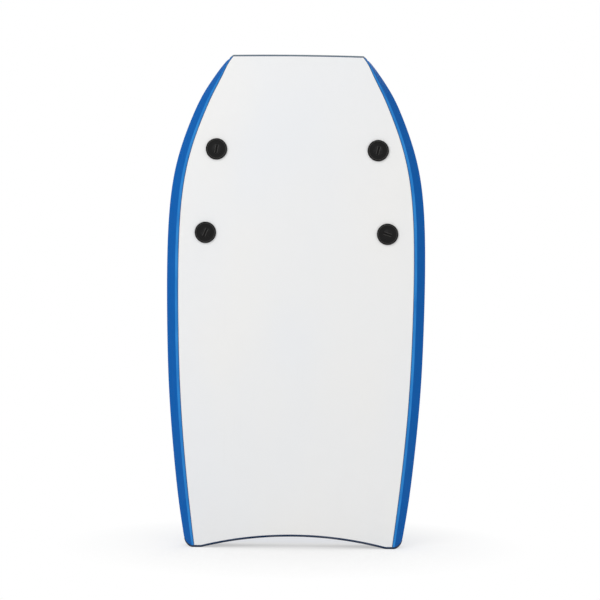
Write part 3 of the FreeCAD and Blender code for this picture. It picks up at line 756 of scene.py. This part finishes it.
def stitchTree():
    # running stitches: a small round-ended thread at even steps along a path
    tree, given, made = newGroup(
        "stitchRow",
        [("Path", "Geometry", None), ("Step", "Float", 0.004), ("Length", "Float", 0.0026),
         ("Thread", "Float", 0.0004), ("Wander", "Float", 0.04), ("Seed", "Int", 7),
         ("Finish", "Material", None)],
        [("Geometry", "Geometry")], "GeometryNodeTree")
    curve = addNode(tree, "GeometryNodeMeshToCurve", None, {"Mesh": given.outputs["Path"]})
    even = addNode(tree, "GeometryNodeResampleCurve", {"mode": "LENGTH"},
                   {"Curve": curve.outputs[0], "Length": given.outputs["Step"]})
    bead = addNode(tree, "GeometryNodeMeshUVSphere", None, {"Segments": 8, "Rings": 6, "Radius": 0.5})
    size = addNode(tree, "ShaderNodeCombineXYZ", None,
                   {0: given.outputs["Thread"], 1: given.outputs["Thread"], 2: given.outputs["Length"]})
    heading = tree.nodes.new("GeometryNodeInputTangent")
    facing = addNode(tree, "FunctionNodeAlignRotationToVector", {"axis": "Z"}, {"Vector": heading.outputs[0]})
    wander = addNode(tree, "FunctionNodeRandomValue", {"data_type": "FLOAT"}, {"Seed": given.outputs["Seed"]})
    low = addNode(tree, "ShaderNodeMath", {"operation": "MULTIPLY"}, {0: given.outputs["Wander"], 1: -1.0})
    tree.links.new(low.outputs[0], wander.inputs[2])
    tree.links.new(given.outputs["Wander"], wander.inputs[3])
    sway = addNode(tree, "ShaderNodeCombineXYZ", None, {0: wander.outputs[1], 1: wander.outputs[1]})
    swayTurn = addNode(tree, "FunctionNodeEulerToRotation", None, {0: sway.outputs[0]})
    turned = addNode(tree, "FunctionNodeRotateRotation", {"rotation_space": "LOCAL"},
                     {0: facing.outputs[0], 1: swayTurn.outputs[0]})
    many = addNode(tree, "GeometryNodeInstanceOnPoints", None,
                   {"Points": even.outputs[0], "Instance": bead.outputs[0],
                    "Rotation": turned.outputs[0], "Scale": size.outputs[0]})
    return endTree(tree, given, made, many.outputs[0], True)


def ribTree():
    # short ribs set round a circle, each pointing outwards
    tree, given, made = newGroup(
        "ribRing",
        [("Path", "Geometry", None), ("Ribs", "Int", 24), ("Circle", "Float", 0.015),
         ("Length", "Float", 0.005), ("Width", "Float", 0.001), ("Height", "Float", 0.0012),
         ("Finish", "Material", None)],
        [("Geometry", "Geometry")], "GeometryNodeTree")
    ring = addNode(tree, "GeometryNodeMeshCircle", None,
                   {"Vertices": given.outputs["Ribs"], "Radius": given.outputs["Circle"]})
    bead = addNode(tree, "GeometryNodeMeshUVSphere", None, {"Segments": 10, "Rings": 6, "Radius": 0.5})
    size = addNode(tree, "ShaderNodeCombineXYZ", None,
                   {0: given.outputs["Length"], 1: given.outputs["Width"], 2: given.outputs["Height"]})
    place = tree.nodes.new("GeometryNodeInputPosition")
    facing = addNode(tree, "FunctionNodeAlignRotationToVector", {"axis": "X", "pivot_axis": "Z"},
                     {"Vector": place.outputs[0]})
    many = addNode(tree, "GeometryNodeInstanceOnPoints", None,
                   {"Points": ring.outputs[0], "Instance": bead.outputs[0],
                    "Rotation": facing.outputs[0], "Scale": size.outputs[0]})
    around = addNode(tree, "GeometryNodeInstanceOnPoints", None,
                     {"Points": given.outputs["Path"], "Instance": many.outputs[0]})
    return endTree(tree, given, made, around.outputs[0], True)


seamBeadTree, stitchRowTree, ribRingTree = beadTree(), stitchTree(), ribTree()


def grow(name, tree, mesh, values):
    # runs a tree on a mesh and keeps the result as a plain mesh
    seed = bpy.data.objects.new(name + "Seed", mesh)
    scene.collection.objects.link(seed)
    modifier = seed.modifiers.new("grow", "NODES")
    modifier.node_group = tree
    for item in tree.interface.items_tree:
        if item.in_out == "INPUT" and item.name in values:
            modifier[item.identifier] = values[item.name]
    bpy.context.view_layer.update()
    made = bpy.data.meshes.new_from_object(seed.evaluated_get(bpy.context.evaluated_depsgraph_get()))
    bpy.data.objects.remove(seed)
    made.name = name
    return addPiece(name, made, None)


def pathMesh(name, paths, closed=False):
    points, edges = [], []
    for path in paths:
        start = len(points)
        points.extend(tuple(p) for p in path)
        edges.extend((start + i, start + i + 1) for i in range(len(path) - 1))
        if closed:
            edges.append((len(points) - 1, start))
    mesh = bpy.data.meshes.new(name)
    mesh.from_pydata(points, edges, [])
    return mesh


seamSizes = {"radius": 0.75 * mm, "sunk": 0.35 * mm, "inset": 0.1 * mm, "cornerGap": 0.5 * mm,
             "sidePoints": 220, "nosePoints": 60, "tailPoints": 120}


def seamPath():
    path, ends = [], endSizes
    low, high = ends["tailStrip"] / boardLength, 1 - ends["noseStrip"] / boardLength
    steps = stationList(seamSizes["sidePoints"], low, high)

    def at(x, z):
        return Vector((x, slickY + rocker(z / boardLength) + seamSizes["sunk"], z))

    sides = [(slickEdge(s) - seamSizes["inset"], s * boardLength) for s in steps]
    topZ = min(sides[-1][1], noseLine(sides[-1][0]) - ends["noseStrip"])
    sides = [(x, z) for x, z in sides if z < topZ - seamSizes["cornerGap"]]
    wide, count = sides[-1][0], seamSizes["nosePoints"]
    path += [at(x, z) for x, z in sides]
    for i in range(count + 1):
        x = wide - 2 * wide * i / count
        path.append(at(x, noseLine(x) - ends["noseStrip"]))
    path += [at(-x, z) for x, z in reversed(sides)]
    wide, count = sides[0][0], seamSizes["tailPoints"]
    for i in range(1, count):
        x = -wide + 2 * wide * i / count
        path.append(at(x, tailLine(x) + ends["tailStrip"]))
    return path


seam = grow("slickSeam", seamBeadTree, pathMesh("seamPath", [seamPath()], True),
            {"Radius": seamSizes["radius"], "Sides": 8, "Finish": seamFilm})
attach(seam, "board")
dressNode("slick_bottom", slickSheet)
print("slick and its seam made")

plugSizes = {
    "slotTurn": {"left_front": 80, "right_front": 77, "left_rear": 67, "right_rear": -18},
    "ringCircle": 19.4 * mm, "ringThick": 0.55 * mm, "ringSunk": 0.45 * mm, "ringPoints": 72,
    "lipLength": 19 * mm, "lipWidth": 1.3 * mm, "lipRise": 0.6 * mm, "lipRings": 16, "lipSides": 12,
    "slotHalf": 2 * mm, "bossDrop": 0.5 * mm, "ribFloor": 1.6 * mm,
    "ribs": 28, "ribCircle": 14.6 * mm, "ribLength": 6 * mm, "ribWidth": 1.1 * mm, "ribHeight": 1.2 * mm,
}

for name in plugNames:
    for half in ("slotted", "deck"):
        dressNode(f"{name}_{half}_plug", plugPlastic)


def lipRings(centre, turn, offset):
    # one raised lip beside a coin slot, a low bar with rounded ends
    half, wide, rise = plugSizes["lipLength"] / 2, plugSizes["lipWidth"] / 2, plugSizes["lipRise"]
    count, sides, rings = plugSizes["lipRings"], plugSizes["lipSides"], []
    along = Vector((math.cos(turn), 0, math.sin(turn)))
    aside = Vector((-math.sin(turn), 0, math.cos(turn)))
    for i in range(count + 1):
        t = -1 + 2 * i / count
        shrink = math.sqrt(max(1 - abs(t) ** 8, 0.002))
        ring = []
        for k in range(sides):
            a = 2 * math.pi * k / sides
            lift = max(math.sin(a), -0.5) * rise * shrink
            reach = offset + math.cos(a) * wide * shrink
            ring.append(centre + along * (t * half) + aside * reach + Vector((0, -lift, 0)))
        rings.append(ring)
    return rings


for name in plugNames:
    x, z = plugPlaces[name]
    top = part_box(f"{name}_slotted_plug")[0].y + plugSizes["bossDrop"]
    turn = math.radians(plugSizes["slotTurn"][name])
    points, faces = [], []
    for side in (-1, 1):
        offset = side * (plugSizes["slotHalf"] + plugSizes["lipWidth"] / 2)
        morePoints, moreFaces = skinRings(lipRings(Vector((x, top, z)), turn, offset))
        faces += [tuple(i + len(points) for i in face) for face in moreFaces]
        points += morePoints
    # the lips and the rim ring take the paler plastic, a painted highlight
    lips = addPiece(f"{name}_slotLips", meshFrom("slotLips", points, faces), paintedHighlightPlastic)
    level = top - plugSizes["bossDrop"] + plugSizes["ringSunk"]
    count, radius = plugSizes["ringPoints"], plugSizes["ringCircle"]
    circle = [Vector((x + radius * math.cos(2 * math.pi * k / count), level,
                      z + radius * math.sin(2 * math.pi * k / count))) for k in range(count)]
    ring = grow(f"{name}_rimRing", seamBeadTree, pathMesh("ringPath", [circle], True),
                {"Radius": plugSizes["ringThick"], "Sides": 8, "Finish": paintedHighlightPlastic})
    for piece in (lips, ring):
        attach(piece, "board")

for name in plugNames:
    x, z = plugPlaces[name]
    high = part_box(f"{name}_deck_plug")[1].y
    ribs = grow(f"{name}_deckRibs", ribRingTree, pathMesh("ribPoint", [[(0, 0, 0)]]),
                {"Ribs": plugSizes["ribs"], "Circle": plugSizes["ribCircle"],
                 "Length": plugSizes["ribLength"], "Width": plugSizes["ribWidth"],
                 "Height": plugSizes["ribHeight"], "Finish": plugPlastic})
    onFloor = Matrix.Translation((x, high - plugSizes["ribFloor"], z))
    ribs.data.transform(onFloor @ Matrix.Rotation(-math.pi / 2, 4, "X"))
    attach(ribs, "board")
print("plugs finished")

handleSizes = {
    "splay": 7, "low": 1.5 * mm, "rise": 33 * mm, "topBend": 26 * mm, "footBend": 12 * mm, "leg": 55,
    "footStart": 64.5 * mm, "tabEnd": 102.5 * mm, "strapWidth": 32 * mm, "strapThick": 2.2 * mm,
    "gripLeg": 5 * mm, "gripWidth": 40 * mm, "gripThick": 15 * mm,
    "slitWidth": 33 * mm, "slitThick": 3.2 * mm,
    "gripRound": 0.62, "slitRound": 0.25, "gripSides": 48, "gripLip": 3.2 * mm, "crown": 0.8 * mm,
    "fingerWave": 9.5 * mm, "waveDepth": 0.35 * mm, "grooveWidth": 1.1 * mm, "grooveDepth": 0.05,
    "seamTurn": 17, "gripStitchStep": 4.5 * mm, "gripStitchLength": 3 * mm, "gripThread": 0.8 * mm,
    "gripStitchShort": 3 * mm, "gripStitchSunk": 0.1 * mm, "seamShare": 0.96,
    "stitchStep": 4 * mm, "stitchInset": 3 * mm, "stitchLength": 2.8 * mm, "thread": 0.7 * mm,
    "stitchFrom": 45.5 * mm, "stitchTo": 66 * mm, "stitchProud": 0.05 * mm,
    "flatSteps": 12, "bendSteps": 18, "footSteps": 12, "tabSteps": 20, "legStep": 1.5 * mm,
    "strapSides": 28, "selvedge": 0.12,
    "clampHeight": 3.2 * mm, "freeHeight": 15.5 * mm,  # between these heights the real strap turns with its handle
}


def archLine(legPart, withFoot):
    # half of the arch from its top outwards: distance along the handle, height and slope
    h = handleSizes
    angle = math.radians(h["leg"])
    bends = h["topBend"] + h["footBend"]
    leg = (h["rise"] - bends * (1 - math.cos(angle))) / math.sin(angle)
    flat = h["footStart"] - bends * math.sin(angle) - leg * math.cos(angle)
    top = h["low"] + h["rise"]
    count = h["flatSteps"]
    line = [(flat * i / count, top, 0.0) for i in range(count + 1)]
    turns = h["bendSteps"]
    for i in range(1, turns + 1):
        a = angle * i / turns
        line.append((flat + h["topBend"] * math.sin(a), top - h["topBend"] * (1 - math.cos(a)), a))
    z, y, _ = line[-1]
    length = leg if withFoot else legPart
    count = max(int(length / h["legStep"]), 2)
    for i in range(1, count + 1):
        d = length * i / count
        line.append((z + d * math.cos(angle), y - d * math.sin(angle), angle))
    if withFoot:
        for i in range(1, h["footSteps"] + 1):
            a = angle * (1 - i / h["footSteps"])
            line.append((h["footStart"] - h["footBend"] * math.sin(a),
                         h["low"] + h["footBend"] * (1 - math.cos(a)), a))
        tab, count = h["tabEnd"] - h["footStart"], h["tabSteps"]
        line += [(h["footStart"] + tab * i / count, h["low"], 0.0) for i in range(1, count + 1)]
    return line


def wholeArch(legPart, withFoot):
    half = archLine(legPart, withFoot)
    return [(-z, y, -a) for z, y, a in reversed(half[1:])] + half


def handlePlace(side):
    low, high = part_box(f"{'left' if side < 0 else 'right'}_strap")
    turn = Matrix.Rotation(math.radians(-side * handleSizes["splay"]), 4, "Y")
    return Matrix.Translation(((low.x + high.x) / 2, deckY, (low.z + high.z) / 2)) @ turn


def crossPoint(place, at, across, off):
    # a point beside the arch's line: across the strap, and off it along the arch's own normal
    z, y, a = at
    return place @ Vector((across, y + off * math.cos(a), z + off * math.sin(a)))


def lengthsAlong(arch):
    run, lengths = 0.0, [0.0]
    for a, b in zip(arch, arch[1:]):
        run += math.hypot(b[0] - a[0], b[1] - a[1])
        lengths.append(run)
    return lengths


def strapPiece(name, place):
    arch = wholeArch(0, True)
    lengths = lengthsAlong(arch)
    wide, thick = handleSizes["strapWidth"] / 2, handleSizes["strapThick"] / 2
    outline, sides, firm = [], handleSizes["strapSides"], handleSizes["selvedge"]
    for k in range(sides):
        a = 2 * math.pi * (k + 0.5) / sides
        c, s = math.cos(a), math.sin(a)
        across = wide * math.copysign(abs(c) ** 0.25, c)
        # thicker along the selvedge
        edge = 1 + firm * math.exp(-((abs(across) - 0.86 * wide) / (0.07 * wide)) ** 2)
        outline.append((across, thick * math.copysign(abs(s) ** 0.3, s) * edge))
    rings, coords = [], []
    for at, run in zip(arch, lengths):
        rings.append([crossPoint(place, at, across, off) for across, off in outline])
        coords += [(run, across) for across, _ in outline]
    points, faces = skinRings(rings)
    mesh = meshFrom(name, points, faces)
    layer = mesh.uv_layers.new(name="strapMap")
    for loop in mesh.loops:
        layer.data[loop.index].uv = coords[loop.vertex_index]
    return addPiece(name, mesh, webbing)


def strapStitches(name, place):
    h, arch = handleSizes, wholeArch(0, True)
    inset, off = h["strapWidth"] / 2 - h["stitchInset"], h["strapThick"] / 2 + h["stitchProud"]
    legs = [[at for at in arch if h["stitchFrom"] < sign * at[0] < h["stitchTo"]] for sign in (-1, 1)]
    paths = [[crossPoint(place, at, side * inset, off) for at in leg] for leg in legs for side in (-1, 1)]
    return grow(name, stitchRowTree, pathMesh(name, paths),
                {"Step": h["stitchStep"], "Length": h["stitchLength"], "Thread": h["thread"],
                 "Wander": 0.05, "Seed": 7, "Finish": stitchThread})


def gripOutline(wide, thick, power):
    ring, count = [], handleSizes["gripSides"]
    for k in range(count):
        a = 2 * math.pi * (k + 0.5) / count
        c, s = math.cos(a), math.sin(a)
        ring.append((wide * math.copysign(abs(c) ** power, c), thick * math.copysign(abs(s) ** power, s)))
    return ring


def gripPiece(name, place):
    h = handleSizes
    arch = wholeArch(h["gripLeg"], False)
    lengths = lengthsAlong(arch)
    total = lengths[-1]
    outer, rings = gripOutline(h["gripWidth"] / 2, h["gripThick"] / 2, h["gripRound"]), []
    for at, run in zip(arch, lengths):
        t = run / total
        fromEnd = min(run, total - run)
        lip = math.sqrt(max(1 - max(1 - fromEnd / h["gripLip"], 0) ** 2, 0.0))
        shrink = 0.84 + 0.16 * lip
        swell = h["crown"] * (math.sin(math.pi * t) ** 0.7 - 0.6)
        dimple = h["waveDepth"] * math.sin(run / h["fingerWave"] * 2 * math.pi)  # shallow finger waves
        ring = []
        for across, off in outer:
            side = abs(across) / (h["gripWidth"] / 2)
            flat, wave = 1 - side**2, dimple if off < 0 else 0
            # the sewn groove along each side
            seam = 1 - h["grooveDepth"] * math.exp(-(off / h["grooveWidth"]) ** 2)
            lift = off * shrink + math.copysign(1, off) * (swell * 0.5 * flat + wave * flat)
            ring.append(crossPoint(place, at, across * shrink * seam, lift))
        rings.append(ring)
    inner = gripOutline(h["slitWidth"] / 2, h["slitThick"] / 2, h["slitRound"])
    for at in reversed(arch):
        rings.append([crossPoint(place, at, across, off) for across, off in inner])
    points, faces = skinRings(rings, loop=True)
    grip = addPiece(name, meshFrom(name, points, faces), gripFoam)
    smooth = grip.modifiers.new("smooth", "SUBSURF")
    smooth.levels = smooth.render_levels = 1
    return grip


def gripStitches(name, place):
    h = handleSizes
    arch = wholeArch(h["gripLeg"] - h["gripStitchShort"], False)
    turn = math.radians(h["seamTurn"])
    across = h["gripWidth"] / 2 * math.cos(turn) ** h["gripRound"] - h["gripStitchSunk"]
    off = h["gripThick"] / 2 * math.sin(turn) ** h["gripRound"] * h["seamShare"]
    paths = [[crossPoint(place, at, side * across, off) for at in arch] for side in (-1, 1)]
    return grow(name, stitchRowTree, pathMesh(name, paths),
                {"Step": h["gripStitchStep"], "Length": h["gripStitchLength"], "Thread": h["gripThread"],
                 "Wander": 0.04, "Seed": 11, "Finish": stitchThread})


for sideName, side in (("left", -1), ("right", 1)):
    place, body = handlePlace(side), f"{sideName}_handle"
    strap = strapPiece(f"{sideName}StrapWebbing", place)
    drill(strap, [plugPlaces[f"{sideName}_{end}"] for end in ("front", "rear")])
    threads = strapStitches(f"{sideName}StrapStitches", place)
    for piece in (strap, threads):
        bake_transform(piece)
    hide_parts(f"{sideName}_strap")
    grip = gripPiece(f"{sideName}Grip", place)
    seamThreads = gripStitches(f"{sideName}GripStitches", place)
    for piece in (grip, seamThreads):
        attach(piece, body)
    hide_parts(f"{sideName}_grip")
print("handles made")

studio = {"floor": 12.0, "floorTone": 0.93, "world": 0.7, "key": 34.0, "fill": 7.0, "back": 14.0,
          "fadeFrom": 0.2, "fadeTo": 0.5, "nearFade": 0.5}


def whiteRays(tree):
    # the rays that see plain white: the camera's, and those off gloss or through glass
    path = tree.nodes.new("ShaderNodeLightPath")
    seen = mathNode(tree, "MAXIMUM", path.outputs["Is Camera Ray"], path.outputs["Is Glossy Ray"])
    return mathNode(tree, "MAXIMUM", seen, path.outputs["Is Transmission Ray"])


def whiteToCamera(tree, lit, fade):
    # an ordinary surface for every other ray
    seen = times(tree, whiteRays(tree), fade)
    glow = addNode(tree, "ShaderNodeEmission", None, {"Color": (1, 1, 1, 1), "Strength": 1.0})
    mixed = addNode(tree, "ShaderNodeMixShader", None, {0: seen, 1: lit, 2: glow.outputs[0]})
    return mixed.outputs[0]


floorFinish = bpy.data.materials.new("studioFloor")
floorFinish.use_nodes = True
tree = floorFinish.node_tree
shader = tree.nodes["Principled BSDF"]
shader.inputs["Roughness"].default_value = 0.9
shader.inputs["Specular IOR Level"].default_value = 0.1
place = tree.nodes.new("ShaderNodeTexCoord").outputs["Object"]
tint = noise(tree, place, 3.0, 2.0)
tone = studio["floorTone"]
shown = mixColor(tree, tint, (tone, tone, tone, 1), (tone + 0.02, tone + 0.02, tone + 0.015, 1))
tree.links.new(shown, shader.inputs["Base Color"])
away = scaled(tree, place, (1.0, 1.3, 1.0))
spread = addNode(tree, "ShaderNodeVectorMath", {"operation": "LENGTH"}, {0: away})
# the shadow stays near the board, at half its strength
fade = remap(tree, spread.outputs["Value"], studio["fadeFrom"], studio["fadeTo"], studio["nearFade"], 1.0)
result = whiteToCamera(tree, shader.outputs[0], fade)
tree.links.new(result, tree.nodes["Material Output"].inputs["Surface"])
half = studio["floor"] / 2
corners = [(-half, -half, 0), (half, -half, 0), (half, half, 0), (-half, half, 0)]
floor = addPiece("floor", meshFrom("floor", corners, [(0, 1, 2, 3)], False), floorFinish)

world = bpy.data.worlds.new("studio")
world.use_nodes = True
scene.world = world
tree = world.node_tree
background = tree.nodes["Background"]
strength = remap(tree, whiteRays(tree), 0.0, 1.0, studio["world"], 1.0)
background.inputs["Color"].default_value = (1, 1, 1, 1)
tree.links.new(strength, background.inputs["Strength"])

middle = (cadBox[0] + cadBox[1]) / 2
lamps = {"key": ((-1.7, -2.2, 2.3), 2.0), "fill": ((2.4, -1.8, 1.0), 2.4), "back": ((0.8, 2.6, 2.4), 2.4)}
for name, (place, size) in lamps.items():
    data = bpy.data.lights.new(name, "AREA")
    data.energy, data.shape, data.size = studio[name], "DISK", size
    lamp = bpy.data.objects.new(name, data)
    lamp.location = place
    lamp.rotation_euler = (middle - Vector(place)).to_track_quat("-Z", "Y").to_euler()
    scene.collection.objects.link(lamp)

cameraSizes = {"lens": 85.0, "frameHeight": 1.262, "aside": 8.9 * mm, "above": 2.1 * mm, "roll": -0.62}
data = bpy.data.cameras.new("camera")
data.lens, data.sensor_width = cameraSizes["lens"], 36.0
camera = bpy.data.objects.new("camera", data)
distance = cameraSizes["frameHeight"] * cameraSizes["lens"] / data.sensor_width
camera.location = (cameraSizes["aside"], slickY - distance, boardLength / 2 + cameraSizes["above"])
camera.rotation_euler = (math.pi / 2, math.radians(cameraSizes["roll"]), 0)
scene.collection.objects.link(camera)
scene.camera = camera
scene.view_settings.view_transform = "Standard"
print("studio ready")
